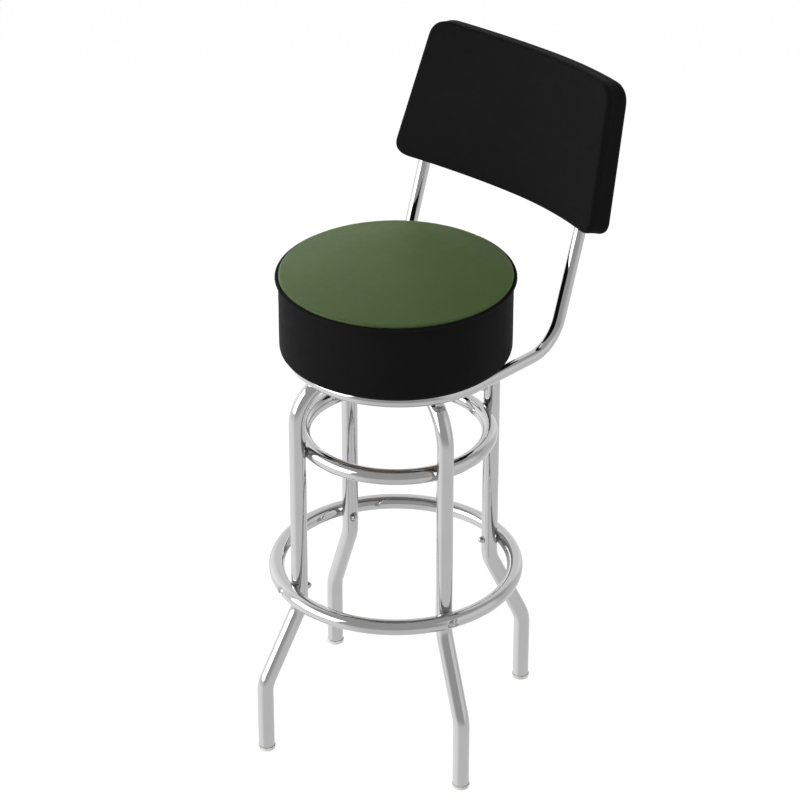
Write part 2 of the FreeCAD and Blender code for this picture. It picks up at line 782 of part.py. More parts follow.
def welt_solid(grow=0.0):
    return Part.makeTorus(welt_radius, welt_d / 2 + grow, Vector(0, 0, welt_z))


def slab(low, high):
    """A disc wider than the seat between two heights, as a cutter."""
    return Part.makeCylinder(2 * seat_radius, high - low, Vector(0, 0, low))


def seat_skin():
    return cushion_solid(0).cut([cushion_solid(cover_t), welt_solid(touch_gap)])


def seat_side_cover():
    """Side band of the cover with its hem turned in under the board."""
    band = seat_skin().common(slab(seat_underside_z - overrun, welt_z - touch_gap))
    opening = Part.makeCylinder(hem_radius, board_t, Vector(0, 0, seat_underside_z - overrun))
    hole_r = seat_screw_d / 2 + hole_gap
    holes = [Part.makeCylinder(hole_r, board_t, Vector(x, y, seat_underside_z - overrun))
             for x, y in frame_screw_places()]
    return band.cut([opening] + holes)


def seat_top_panel():
    return seat_skin().common(slab(welt_z + touch_gap, welt_z + crown_h + overrun))


def seat_foam():
    """Crowned foam on the board, filling the cover."""
    foam = cushion_solid(cover_t + touch_gap).cut(welt_solid(touch_gap))
    return foam.common(slab(board_z + board_t + touch_gap, welt_z + crown_h))


def pad_outline(inset):
    """Face of the backrest outline in its own XZ plane: narrower at the top, with round corners."""
    rise = pad_height - 2 * inset
    slope = (pad_half_bottom - pad_half_top) / pad_height
    side_inset = inset * math.sqrt(1 + slope ** 2)
    low = pad_half_bottom - side_inset - inset * slope
    high = low - rise * slope
    corners = [Vector(-low, 0, inset), Vector(low, 0, inset), Vector(high, 0, inset + rise),
               Vector(-high, 0, inset + rise)]
    bottom_r = max(pad_bottom_corner_radius - inset, touch_gap)
    top_r = max(pad_top_corner_radius - inset, touch_gap)
    return Part.Face(rounded_path(corners, [bottom_r, bottom_r, top_r, top_r], True))


def pad_prism(inset):
    depth = pad_curve_radius
    prism = pad_outline(inset).extrude(Vector(0, depth, 0))
    return moved(prism, 0, -depth / 2, 0)


def curved_band(front, back, crown):
    """Band bent about an upright axis in front of the pad; its front may swell towards mid height."""
    middle = pad_height / 2
    low = -overrun
    high = pad_height + overrun
    fall = crown * ((middle + overrun) / middle) ** 2 - crown
    edges = [
        Part.LineSegment(Vector(0, back, low), Vector(0, back, high)).toShape(),
        Part.LineSegment(Vector(0, back, high), Vector(0, front + fall, high)).toShape(),
        Part.LineSegment(Vector(0, front + fall, low), Vector(0, back, low)).toShape(),
    ]
    if crown > 0:
        tip = Vector(0, front - crown, middle)
        swell = Part.Arc(Vector(0, front + fall, high), tip, Vector(0, front + fall, low))
        edges.insert(2, swell.toShape())
    else:
        edges.insert(2, Part.LineSegment(Vector(0, front, high), Vector(0, front, low)).toShape())
    sweep = 2 * math.degrees(math.asin((pad_half_bottom + overrun) / pad_curve_radius))
    band = Part.Face(Part.Wire(edges))
    axis_foot = Vector(0, -pad_curve_radius, 0)
    band.rotate(axis_foot, Vector(0, 0, 1), -sweep / 2)
    return band.revolve(axis_foot, Vector(0, 0, 1), sweep)


def pad_body(inset):
    """The upholstered pad, set in by an inset, with its front and rear rims rounded."""
    body = curved_band(inset, pad_thickness - inset, pad_crown).common(pad_prism(inset))
    rims = []
    for face in body.Faces:
        if len(face.Edges) == 8:
            rims += face.Edges
    return body.makeFillet(max(pad_edge_round - inset, touch_gap), rims)


def back_board():
    back = post_depth - frame_r - touch_gap
    return curved_band(back - back_board_t, back, 0).common(pad_prism(back_board_inset))


def post_rods(radius, top):
    """The straight posts in the pad's own frame, from below the pad to a height in it."""
    rods = []
    for side in (-1, 1):
        base = Vector(side * frame_half_width, post_line_depth, -pad_bottom_along_post / 2)
        rods.append(Part.makeCylinder(radius, top + pad_bottom_along_post / 2, base))
    return rods


def back_screw_span():
    """Distances along the screw from the post's middle to the board's front and to the rear cover."""
    board_front = -(frame_r + touch_gap + back_board_t)
    rear = pad_thickness - post_depth
    return board_front, rear


def backrest_screws(gap=0.0):
    """Screws from the rear cover through the posts into the board."""
    screws = []
    board_front, rear = back_screw_span()
    for middle, out in post_screw_axes():
        seat = rear + 2 * touch_gap
        length = seat - board_front - 2 * touch_gap
        screw = domed_screw(back_screw_d + 2 * gap, length, back_screw_head_d, back_screw_head_h)
        screws.append(pointed(screw, middle + out * seat, out * -1))
    return screws


def backrest_nuts(gap=0.0):
    """Flanged nuts let into the front of the backrest board."""
    nuts = []
    board_front = back_screw_span()[0]
    for middle, out in post_screw_axes():
        start = middle + out * (board_front + 2 * touch_gap)
        flange = Part.makeCylinder(back_nut_flange_d / 2 + gap, t_nut_flange_t + gap, start, out)
        barrel = Part.makeCylinder(back_nut_barrel_d / 2 + gap, back_board_t - 4 * touch_gap, start, out)
        nuts.append(flange.fuse(barrel))
    return nuts


def backrest_t_nuts():
    bores = backrest_screws(thread_gap)
    return [nut.cut(bore) for nut, bore in zip(backrest_nuts(), bores)]


def backrest_board():
    return back_board().cut(backrest_nuts(touch_gap) + backrest_screws(thread_gap))


def backrest_foam():
    body = pad_body(cover_t + touch_gap)
    cavity = curved_band(post_depth - frame_r - 2 * touch_gap - back_board_t, post_depth - frame_r, 0)
    cavity = cavity.common(pad_prism(back_board_inset - touch_gap))
    posts = post_rods(frame_r + touch_gap, post_in_pad + hole_gap)
    return body.cut([cavity] + posts + backrest_screws(hole_gap))


def backrest_cover():
    shell = pad_body(0).cut(pad_body(cover_t))
    slots = post_rods(frame_r + touch_gap, pad_height / 2)
    holes = []
    for middle, out in post_screw_axes():
        holes.append(Part.makeCylinder(back_screw_d / 2 + hole_gap, pad_thickness, middle, out))
    return shell.cut(slots + holes)


def around_legs(shape):
    return [turned(shape, angle) for angle in leg_angles]


def leaning(shapes):
    return [from_pad(shape) for shape in shapes]


def pieces():
    """Every node of the stool and its solids, about the swivel axis."""
    nodes = {}
    for name, part in zip(leg_names, around_legs(leg())):
        nodes[f"{name}_leg"] = [part]
    for name, part in zip(leg_names, around_legs(leg_glide())):
        nodes[f"{name}_glide"] = [part]
    nodes["foot_ring"] = [ring(foot_ring_radius, foot_ring_z, True)]
    nodes["upper_ring"] = [ring(upper_ring_radius, upper_ring_z, False)]
    nodes["foot_ring_bolts"] = around_legs(foot_ring_bolt())
    nodes["foot_ring_cap_nuts"] = around_legs(cap_nut())
    nodes["upper_ring_screws"] = around_legs(upper_ring_screw())
    nodes["upper_ring_inserts"] = around_legs(leg_insert())
    nodes["leg_bolts"] = leg_bolts()
    nodes["leg_lock_washers"] = leg_lock_washers()
    nodes["leg_weld_nuts"] = leg_weld_nuts()
    nodes["swivel_lower_plate"] = [swivel_lower_plate()]
    nodes["swivel_pivot"] = [swivel_pivot()]
    nodes["ball_retainer"] = [ball_retainer()]
    nodes["swivel_balls"] = swivel_balls()
    nodes["swivel_upper_plate"] = [swivel_upper_plate()]
    nodes["pivot_washer"] = [pivot_washer()]
    nodes["swivel_screws"] = swivel_screws()
    nodes["back_frame"] = [back_frame()]
    nodes["frame_screws"] = frame_screws()
    nodes["frame_saddle_washers"] = saddle_washers()
    nodes["seat_board"] = [seat_board()]
    nodes["seat_t_nuts"] = seat_t_nuts()
    nodes["seat_foam"] = [seat_foam()]
    nodes["seat_side_cover"] = [seat_side_cover()]
    nodes["seat_top_panel"] = [seat_top_panel()]
    nodes["seat_welt"] = [welt_solid()]
    nodes["backrest_board"] = leaning([backrest_board()])
    nodes["backrest_t_nuts"] = leaning(backrest_t_nuts())
    nodes["backrest_foam"] = leaning([backrest_foam()])
    nodes["backrest_cover"] = leaning([backrest_cover()])
    nodes["backrest_screws"] = leaning(backrest_screws())
    return nodes


def main():
    os.makedirs("parts", exist_ok=True)
    for name, solids in pieces().items():
        placed = [moved(solid, 0, -axis_forward, 0) for solid in solids]
        shape = placed[0] if len(placed) == 1 else Part.makeCompound(placed)
        shape.exportStep(f"parts/{name}.step")
    print(f"swivel axis at Y = {-axis_forward:.3f} mm")


main()
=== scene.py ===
"""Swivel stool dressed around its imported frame: materials, cushions, camera and studio.

All lengths are metres in the row frame: Z is up, the front of the seat looks towards -Y and the
floor is Z = 0.
"""
import json
import math
from collections import namedtuple

import bpy
from mathutils import Matrix, Vector, noise


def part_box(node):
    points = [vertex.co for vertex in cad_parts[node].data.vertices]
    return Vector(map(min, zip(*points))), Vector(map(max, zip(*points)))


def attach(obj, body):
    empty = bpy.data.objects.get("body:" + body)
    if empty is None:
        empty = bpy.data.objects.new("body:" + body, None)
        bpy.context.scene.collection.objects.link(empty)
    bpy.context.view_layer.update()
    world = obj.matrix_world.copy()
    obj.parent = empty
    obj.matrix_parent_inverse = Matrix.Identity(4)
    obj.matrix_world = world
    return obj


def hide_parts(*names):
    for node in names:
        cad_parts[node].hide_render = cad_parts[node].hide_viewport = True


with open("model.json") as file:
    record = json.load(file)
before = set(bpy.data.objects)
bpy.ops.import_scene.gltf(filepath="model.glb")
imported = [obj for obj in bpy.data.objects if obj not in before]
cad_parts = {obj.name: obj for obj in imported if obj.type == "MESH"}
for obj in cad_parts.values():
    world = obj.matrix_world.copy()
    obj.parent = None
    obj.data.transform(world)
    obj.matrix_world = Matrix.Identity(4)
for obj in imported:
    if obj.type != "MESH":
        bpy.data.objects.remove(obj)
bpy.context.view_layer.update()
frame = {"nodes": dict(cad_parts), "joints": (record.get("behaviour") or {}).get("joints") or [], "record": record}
nodes = frame["nodes"]

# Camera of the photograph, measured from the foot of the swivel axis
CAMERA_FROM_AXIS = Vector((2.8201, -2.9583, 2.8272))
CAMERA_TURN = math.radians(43.544)
CAMERA_PITCH = math.radians(28.931)
CAMERA_ROLL = math.radians(0.059)
CAMERA_LENS_MM = 138.99
CAMERA_SENSOR_MM = 36.0
CAMERA_REACH = 100.0

# Air pressed into the cushions, whose covers give as cloth
AIR_PRESSURE = 4.0
AIR_FRAMES = 20
CLOTH_QUALITY = 6
CLOTH_MASS = 0.2
CLOTH_STRETCH = 25.0
CLOTH_SHEAR = 12.0
CLOTH_BENDING = 2.0

# Seat cushion: cover, hem, rounded foot, crown and its edge, the seam's lift at the far side, and
# how far the seam and the foot draw the side in
COVER_T = 0.0012
SKIN_GAP = 0.0001
HEM_RADIUS = 0.128
FOOT_ROUND = 0.007
CROWN_EDGE_ROUND = 0.003
CROWN_EDGE_RISE = 0.0034
CROWN_EXTRA = 0.0012
SEAT_FAR_LIFT = 0.0014
SEAT_DRAW_IN = 0.0002
SEAT_LOW_DRAW_IN = 0.5
SEAT_RINGS = 20
SEAT_SIDE_ROWS = 14
SEAT_HEM_ROWS = 5

# How freely air moves the seat's cover, how far in from a seam it is still held back, how near the
# crown or the side a point belongs to the cover, and the cover's largest move
SEAT_TOP_FREE = 0.9
SEAT_TOP_HELD = 0.030
SEAT_SIDE_FREE = 0.8
SEAT_SIDE_HELD = 0.020
SEAT_SKIN = 0.002
SEAT_AIR_CAP = 0.0015

# Gathered cloth on the seat: the depths of the hem's pleats, the side band's ripple and the seam's
# puckers, each with the reach over which it eases in and the margin that tells its points apart
HEM_PLEAT = 0.0007
HEM_LEVEL = 0.0005
HEM_START = 0.001
HEM_EASE_INNER = 0.012
HEM_EASE_OUTER = 0.010
BAND_OUT = 0.0004
BAND_RIPPLE = 0.0005
BAND_RIPPLE_TOP_SHARE = 0.3
BAND_FOOT_REACH = 0.05
BAND_MARGIN = 0.004
SEAM_PUCKER = 0.00035
SEAM_REACH = 0.020
SEAM_MARGIN = 0.002

# Piping of the seat: its faces, wide and narrow swellings, sag, the flat towards the seam, the lap
WELT_AROUND = 420
WELT_ACROSS = 20
WELT_SWELL, WELT_SWELL_WAVES = 0.035, 9
WELT_GRAIN, WELT_GRAIN_WAVES = 0.02, 60
WELT_SAG, WELT_SAG_WAVES, WELT_SAG_SEED = 0.0002, 4, Vector((5, 0, 0))
WELT_FLAT, WELT_FLAT_ANGLE = 0.06, 1.1 * math.pi
WELT_LAP_ANGLE = math.pi / 2
WELT_LAP_LENGTH = 0.004
WELT_LAP_DIP = 0.12

# Backrest pad on its posts; beyond PAD_RIGHT_START its right end wraps forward and hangs a little
POST_LEAN = math.radians(17.7)
PAD_LEAN = math.radians(15.45)
PAD_YAW = math.radians(1.0)
FRAME_CORNER_Y = 0.1729
FRAME_Z = 0.6518
FRAME_HALF_WIDTH = 0.160
POST_BEND_RUN = 0.004
PAD_ALONG_POST = 0.1932
POST_DEPTH = 0.0210
PAD_CURVE_RADIUS = 0.700
PAD_HEIGHT = 0.2212
PAD_HALF_BOTTOM = 0.2076
PAD_HALF_TOP = 0.1812
PAD_THICKNESS = 0.039
PAD_CROWN = 0.0045
PAD_CROWN_POWER = 2.6
PAD_TOP_CORNER = 0.029
PAD_BOTTOM_CORNER = 0.020
PAD_LEAST_CORNER = 0.002
PAD_FRONT_ROUND = 0.006
PAD_BACK_ROUND = 0.009
PAD_DRAW_IN = 0.0008
PAD_RINGS = 20
PAD_SIDE_ROWS = 5
PAD_RIGHT_STRETCH = 1.06
PAD_RIGHT_WRAP = 0.008
PAD_RIGHT_DROOP = 0.007
PAD_RIGHT_START = 0.020
PAD_RIGHT_RUN = 0.190
PAD_FREE = 0.75
PAD_AIR_CAP = 0.0010
SCREW_HEAD_PROUD = 0.0024

# Sewing of the pad: the seam between face and band, puckers behind it, a faint dip inside the edge
PAD_SEAM = 0.0009
PAD_SEAM_HALF_WIDTH = 0.0016
PAD_EDGE_BAND = 0.004
PAD_PUCKER = 0.00022
PAD_PUCKER_BEHIND = 0.004
PAD_PUCKER_HALF_WIDTH = 0.006
PAD_DIP = 0.0004
PAD_DIP_START, PAD_DIP_PEAK, PAD_DIP_END = 0.002, 0.012, 0.030
PAD_FACE_DEPTH = 0.002
PAD_INWARD_SHARE = 0.9

# Finishes: the chrome's two greys with a touch of blue, its polish and how much rougher a smudge
# is, and how much darker the patches on plain plating are
CHROME_LOW, CHROME_LOW_BLUE = 0.43, 1.005
CHROME_HIGH, CHROME_HIGH_BLUE = 0.455, 1.008
CHROME_ROUGHNESS = 0.03
CHROME_SMUDGE_ROUGHER = 2.2
PLATING_DARKER = 0.82
SURFACE_IOR = 1.5

# Room light by direction, as the radiance that the chrome mirrors; turns are in degrees from the
# camera's side, positive to its right
ROOM_LIGHT = 0.60
LOW_LIGHT = 0.41
LOW_LIGHT_REACH = (-0.38, -0.02)
ROOM_GLOWS = (
    # turn, elevation, full inside, gone beyond, amount
    (190.0, 20.0, 44.0, 61.0, 0.55),
    (125.0, 5.0, 10.0, 30.0, 0.30),
    (-125.0, 15.0, 15.0, 45.0, 0.30),
    (-95.0, -20.0, 20.0, 62.0, 0.42),
)
ROOM_BOXES = (
    # turn, elevation, half width, half height, soft edge, amount
    (-74.3, 17.0, 25.0, 20.5, 0.03, 4.5),
    (72.0, 15.0, 28.0, 25.0, 0.22, 0.55),
)

# Turn, elevation, distance, side and radiance of the panels that light the cloth
FILL_PANELS = {
    "top_fill": (0.0, 90.0, 2.4, 3.0, 1.15),
    "side_fill": (-150.0, 15.0, 1.3, 0.5, 26.5),
    "left_box": (-62.0, 10.0, 2.5, 2.2, 3.4),
    "right_fill": (80.0, 14.0, 2.5, 1.5, 3.3),
}
PANEL_AIM_HEIGHT = 0.7

# White paper: its own light, its grey and mottle, the floor's size and the wall round it
PAPER_LIGHT = 0.98
PAPER_GREY = 0.08
PAPER_MOTTLE = 1.02
FLOOR_HALF_SIZE = 20.0
WALL_STEPS = 96
WALL_RADIUS = 19.5
WALL_HEIGHT = 14.0

joint = frame["joints"][0]
axis_foot = Vector((joint["pos_m"][0], joint["pos_m"][1], 0.0))


# Shared helpers

def toward(turn, elevation=0.0):
    """A direction from the stool; turn starts at the camera's side and is positive to its right."""
    a = CAMERA_TURN + math.radians(turn) - math.pi / 2
    e = math.radians(elevation)
    return Vector((math.cos(a) * math.cos(e), math.sin(a) * math.cos(e), math.sin(e)))


def slot_of(node):
    """The material slot that the record gives a node."""
    return next(e["material_slot"] for e in frame["record"]["subparts"] if e["node"] == node)


def smooth_step(low, high, value):
    t = max(0.0, min(1.0, (value - low) / (high - low)))
    return t * t * (3 - 2 * t)


def quarter_turn(steps):
    """Angles in radians at which each of the equal steps of a quarter turn ends."""
    return [math.radians(90 * i / steps) for i in range(1, steps + 1)]


def uneven(first, second, waves, seed):
    """Smooth noise between -1 and 1 over two coordinates, each with its own waves per unit."""
    return noise.noise(Vector((first * waves[0], second * waves[1], seed)))


def placed(name, data):
    """A new object in the scene, from a mesh, light or camera."""
    obj = bpy.data.objects.new(name, data)
    bpy.context.scene.collection.objects.link(obj)
    return obj


def mesh_object(name, points, faces, smooth=False):
    """A new mesh object in the scene, without materials."""
    mesh = bpy.data.meshes.new(name)
    mesh.from_pydata([tuple(p) for p in points], [], faces)
    mesh.polygons.foreach_set("use_smooth", [smooth] * len(mesh.polygons))
    return placed(name, mesh)


# Materials

# A socket that gives the height, its depth in metres and how strongly it shows
Relief = namedtuple("Relief", "height depth strength")


class Nodes:
    """Short calls for building a node tree."""

    def __init__(self, tree):
        self.tree = tree
        self.tree.nodes.clear()

    def add(self, kind, **values):
        node = self.tree.nodes.new(kind)
        for key, value in values.items():
            setattr(node, key, value)
        return node

    def link(self, source, target):
        self.tree.links.new(source, target)

    def spread(self, value, low, high, source=(0.3, 0.7), kind="LINEAR"):
        """value, taken over the source range, becomes low to high."""
        node = self.add("ShaderNodeMapRange", interpolation_type=kind)
        node.inputs["From Min"].default_value = source[0]
        node.inputs["From Max"].default_value = source[1]
        node.inputs["To Min"].default_value = low
        node.inputs["To Max"].default_value = high
        self.link(value, node.inputs["Value"])
        return node.outputs["Result"]

    def along(self, vector, direction):
        node = self.add("ShaderNodeVectorMath", operation="DOT_PRODUCT")
        self.link(vector, node.inputs[0])
        node.inputs[1].default_value = direction
        return node.outputs["Value"]

    def math(self, operation, first, second=0.0):
        """Either operand is a socket or a number."""
        node = self.add("ShaderNodeMath", operation=operation)
        for operand, socket in zip((first, second), node.inputs):
            if isinstance(operand, (int, float)):
                socket.default_value = operand
            else:
                self.link(operand, socket)
        return node.outputs["Value"]


class Surface(Nodes):
    """A principled material with short calls for its procedural detail."""

    def __init__(self, name, metallic=0.0, specular=0.5):
        self.material = bpy.data.materials.new(name)
        self.material.use_nodes = True
        super().__init__(self.material.node_tree)
        output = self.add("ShaderNodeOutputMaterial")
        self.shader = self.add("ShaderNodeBsdfPrincipled")
        self.shader.inputs["Metallic"].default_value = metallic
        self.shader.inputs["Specular IOR Level"].default_value = specular
        self.shader.inputs["IOR"].default_value = SURFACE_IOR
        self.link(self.shader.outputs["BSDF"], output.inputs["Surface"])
        self.place = self.add("ShaderNodeTexCoord").outputs["Object"]

    def stretched(self, scale):
        mapping = self.add("ShaderNodeMapping")
        mapping.inputs["Scale"].default_value = scale
        self.link(self.place, mapping.inputs["Vector"])
        return mapping.outputs["Vector"]

    def cloud(self, scale, detail, roughness, stretch=None):
        texture = self.add("ShaderNodeTexNoise")
        texture.inputs["Scale"].default_value = scale
        texture.inputs["Detail"].default_value = detail
        texture.inputs["Roughness"].default_value = roughness
        self.link(self.stretched(stretch) if stretch else self.place, texture.inputs["Vector"])
        return texture.outputs["Fac"]

    def cells(self, scale):
        texture = self.add("ShaderNodeTexVoronoi", feature="DISTANCE_TO_EDGE")
        texture.inputs["Scale"].default_value = scale
        self.link(self.place, texture.inputs["Vector"])
        return texture.outputs["Distance"]

    def colours(self, value, first, last, ends=(0.3, 0.7)):
        """The base colour runs from first to last while value runs between the ends."""
        node = self.add("ShaderNodeValToRGB")
        for element, place, colour in zip(node.color_ramp.elements, ends, (first, last)):
            element.position = place
            element.color = (*colour, 1.0)
        self.link(value, node.inputs["Fac"])
        self.link(node.outputs["Color"], self.shader.inputs["Base Color"])

    def rough(self, value, low, high):
        self.link(self.spread(value, low, high), self.shader.inputs["Roughness"])

    def bump(self, *reliefs):
        """Lays reliefs over one another, from the coarsest to the finest."""
        before = None
        for relief in reliefs:
            node = self.add("ShaderNodeBump")
            node.inputs["Distance"].default_value = relief.depth
            node.inputs["Strength"].default_value = relief.strength
            self.link(relief.height, node.inputs["Height"])
            if before:
                self.link(before, node.inputs["Normal"])
            before = node.outputs["Normal"]
        self.link(before, self.shader.inputs["Normal"])


def chrome(name, low=CHROME_LOW, high=CHROME_HIGH, roughness=CHROME_ROUGHNESS):
    """Bright plating over drawn tube: faint ripples along the polish, smudges in the gloss."""
    s = Surface(name, metallic=1.0)
    smudge = s.cloud(14.0, detail=6.0, roughness=0.6)
    s.colours(smudge, (low, low, low * CHROME_LOW_BLUE), (high, high, high * CHROME_HIGH_BLUE))
    s.rough(smudge, low=roughness, high=roughness * CHROME_SMUDGE_ROUGHER)
    ripple = s.cloud(55.0, detail=2.0, roughness=0.4)
    polish = s.cloud(900.0, detail=3.0, roughness=0.6, stretch=(1.0, 1.0, 0.12))
    s.bump(Relief(ripple, depth=0.0004, strength=0.035),
           Relief(polish, depth=0.00001, strength=0.05))
    return s.material


def plated_steel(name, colour=(0.42, 0.42, 0.40)):
    """Dull plating on small fittings."""
    s = Surface(name, metallic=1.0)
    patches = s.cloud(160.0, detail=5.0, roughness=0.65)
    s.colours(patches, tuple(PLATING_DARKER * c for c in colour), colour)
    s.rough(patches, low=0.28, high=0.5)
    s.bump(Relief(s.cloud(1300.0, detail=4.0, roughness=0.6), depth=0.00003, strength=0.25))
    return s.material


def pressed_steel():
    """Rolled plate of the swivel, with a faint grain one way."""
    s = Surface("pressed_steel", metallic=1.0)
    grain = s.cloud(420.0, detail=5.0, roughness=0.7, stretch=(1.0, 0.05, 1.0))
    s.colours(grain, (0.16, 0.16, 0.17), (0.27, 0.27, 0.28), ends=(0.25, 0.75))
    s.rough(grain, low=0.3, high=0.52)
    waves = s.cloud(60.0, detail=3.0, roughness=0.5)
    s.bump(Relief(waves, depth=0.0003, strength=0.06),
           Relief(grain, depth=0.00003, strength=0.3))
    return s.material


def vinyl(name, dark, light, roughness, specular):
    """Upholstery vinyl with a fine leather-like grain."""
    s = Surface(name, specular=specular)
    s.colours(s.cloud(9.0, detail=5.0, roughness=0.55), dark, light)
    s.rough(s.cloud(75.0, detail=4.0, roughness=0.6), *roughness)
    pebbles = s.spread(s.cells(820.0), 0.0, 1.0, source=(0.0, 0.18))
    waves = s.cloud(26.0, detail=3.0, roughness=0.5)
    grit = s.cloud(2600.0, detail=3.0, roughness=0.6)
    s.bump(Relief(waves, depth=0.0006, strength=0.05),
           Relief(pebbles, depth=0.00006, strength=0.22),
           Relief(grit, depth=0.00002, strength=0.2))
    return s.material


def glide_plastic():
    """Milky moulded plastic of the feet, unevenly worn."""
    s = Surface("glide_plastic", specular=0.5)
    s.colours(s.cloud(60.0, detail=4.0, roughness=0.6), (0.60, 0.60, 0.57), (0.72, 0.72, 0.69))
    s.rough(s.cloud(240.0, detail=5.0, roughness=0.65), low=0.3, high=0.5)
    s.shader.inputs["Subsurface Weight"].default_value = 0.25
    s.shader.inputs["Subsurface Radius"].default_value = (0.004, 0.004, 0.0035)
    s.bump(Relief(s.cloud(900.0, detail=3.0, roughness=0.6), depth=0.00004, strength=0.2))
    return s.material


def plywood():
    """Rotary-cut face grain, with the plies showing on every edge."""
    s = Surface("plywood", specular=0.3)
    rings = s.add("ShaderNodeTexWave", wave_type="BANDS", bands_direction="X")
    rings.inputs["Scale"].default_value = 11.0
    rings.inputs["Distortion"].default_value = 7.0
    rings.inputs["Detail"].default_value = 4.0
    s.link(s.stretched((1.0, 0.12, 60.0)), rings.inputs["Vector"])
    s.colours(rings.outputs["Fac"], (0.30, 0.19, 0.095), (0.47, 0.33, 0.18), ends=(0.1, 0.9))
    s.rough(rings.outputs["Fac"], low=0.55, high=0.75)
    fibres = s.cloud(500.0, detail=4.0, roughness=0.7, stretch=(1.0, 0.04, 1.0))
    s.bump(Relief(fibres, depth=0.00012, strength=0.35))
    return s.material


def white_paper():
    """Evenly lit white paper of the floor and the far wall."""
    s = Surface("studio_floor", specular=0.0)
    grey = (PAPER_GREY,) * 3
    s.colours(s.cloud(0.6, detail=2.0, roughness=0.5), grey, (PAPER_GREY * PAPER_MOTTLE,) * 3)
    s.shader.inputs["Roughness"].default_value = 1.0
    s.shader.inputs["Emission Color"].default_value = (1.0, 1.0, 1.0, 1.0)
    s.shader.inputs["Emission Strength"].default_value = PAPER_LIGHT
    return s.material


def dress_nodes():
    """Gives every CAD node the finish of its material slot, and returns the finishes."""
    finishes = {
        "chrome_leg": chrome("chrome_leg"),
        "chrome_ring": chrome("chrome_ring"),
        "chrome_frame": chrome("chrome_frame"),
        "chrome_fastener": chrome("chrome_fastener", low=0.36, high=0.42, roughness=0.07),
        "ball_steel": chrome("ball_steel", low=0.40, high=0.44, roughness=0.05),
        "zinc_steel": plated_steel("zinc_steel"),
        "plate_steel": pressed_steel(),
        "glide_plastic": glide_plastic(),
        "plywood": plywood(),
        "black_screw": plated_steel("black_screw", colour=(0.02, 0.02, 0.02)),
        "black_vinyl": vinyl("black_vinyl", roughness=(0.6, 0.7), specular=0.02,
                             dark=(0.0060, 0.0060, 0.0061), light=(0.0070, 0.0070, 0.0071)),
        "green_vinyl": vinyl("green_vinyl", roughness=(0.42, 0.52), specular=0.08,
                             dark=(0.070, 0.106, 0.037), light=(0.075, 0.113, 0.040)),
    }
    finishes["foam"] = finishes["black_vinyl"]
    for entry in frame["record"]["subparts"]:
        slots = nodes[entry["node"]].data.materials
        slots.clear()
        slots.append(finishes[entry["material_slot"]])
    return finishes


# Cushion forms

def square_ring_step(i, j):
    """Ring number and step round it, counted from a corner, of point (i, j) in a square grid."""
    k = max(abs(i), abs(j))
    if k == 0:
        return 0, 0
    if j == -k:
        step = i + k
    elif i == k:
        step = 2 * k + j + k
    elif j == k:
        step = 4 * k + k - i
    else:
        step = 6 * k + k - j
    return k, step % (8 * k)


class Outline:
    """A convex outline with rounded corners, walked corner by corner."""

    def __init__(self, corners, radii):
        self.arcs = []
        count = len(corners)
        for i, corner in enumerate(corners):
            before = (corner - corners[i - 1]).normalized()
            after = (corners[(i + 1) % count] - corner).normalized()
            turn = math.acos(max(-1.0, min(1.0, before.dot(after))))
            radius = radii[i]
            start = corner - before * radius * math.tan(turn / 2)
            centre = start + Vector((-before.y, before.x)) * radius
            first = math.atan2(start.y - centre.y, start.x - centre.x)
            self.arcs.append((centre, radius, first, turn))

    def on_arc(self, i, share):
        centre, radius, first, turn = self.arcs[i]
        a = first + turn * share
        return centre + Vector((math.cos(a), math.sin(a))) * radius

    def half_arc(self, i):
        """Half the length of a corner's arc."""
        _, radius, _, turn = self.arcs[i]
        return radius * turn / 2

    def at(self, quarter, share):
        """A point between the middle of one corner and the middle of the next."""
        following = (quarter + 1) % len(self.arcs)
        first = self.half_arc(quarter)
        last = self.half_arc(following)
        leave = self.on_arc(quarter, 1.0)
        arrive = self.on_arc(following, 0.0)
        run = (arrive - leave).length
        walked = share * (first + run + last)
        if walked <= first:
            return self.on_arc(quarter, 0.5 + 0.5 * walked / first)
        if walked <= first + run:
            return leave.lerp(arrive, (walked - first) / run)
        return self.on_arc(following, 0.5 * (walked - first - run) / last)


def cushion_mesh(name, rings, face_point, loops, back_point):
    """A closed quad mesh: a face of square rings, loops round the sides, and a second face behind.

    face_point and back_point give a point for (share of the way out, quarter, share of the
    quarter); loops is a list of functions of (quarter, share of the quarter).
    """
    points, faces = [], []
    around = 8 * rings

    def disc(point, boundary, flip):
        """Adds a face that ends in the boundary's points, or in its own rim, which it returns."""
        index = {}
        rim = [None] * around
        for j in range(-rings, rings + 1):
            for i in range(-rings, rings + 1):
                k, step = square_ring_step(i, j)
                if k == rings and boundary is not None:
                    index[i, j] = boundary[step]
                    continue
                quarter, share = (step // (2 * k), step % (2 * k) / (2 * k)) if k else (0, 0.0)
                index[i, j] = len(points)
                points.append(point(k / rings, quarter, share))
                if k == rings:
                    rim[step] = index[i, j]
        for j in range(-rings, rings):
            for i in range(-rings, rings):
                face = [index[i, j], index[i + 1, j], index[i + 1, j + 1], index[i, j + 1]]
                faces.append(face[::-1] if flip else face)
        return rim

    previous = disc(face_point, None, False)
    for loop in loops:
        current = []
        for step in range(around):
            current.append(len(points))
            points.append(loop(step // (2 * rings), step % (2 * rings) / (2 * rings)))
        for step in range(around):
            following = (step + 1) % around
            faces.append([previous[step], current[step], current[following], previous[following]])
        previous = current
    disc(back_point, previous, True)
    return mesh_object(name, points, faces, smooth=True)


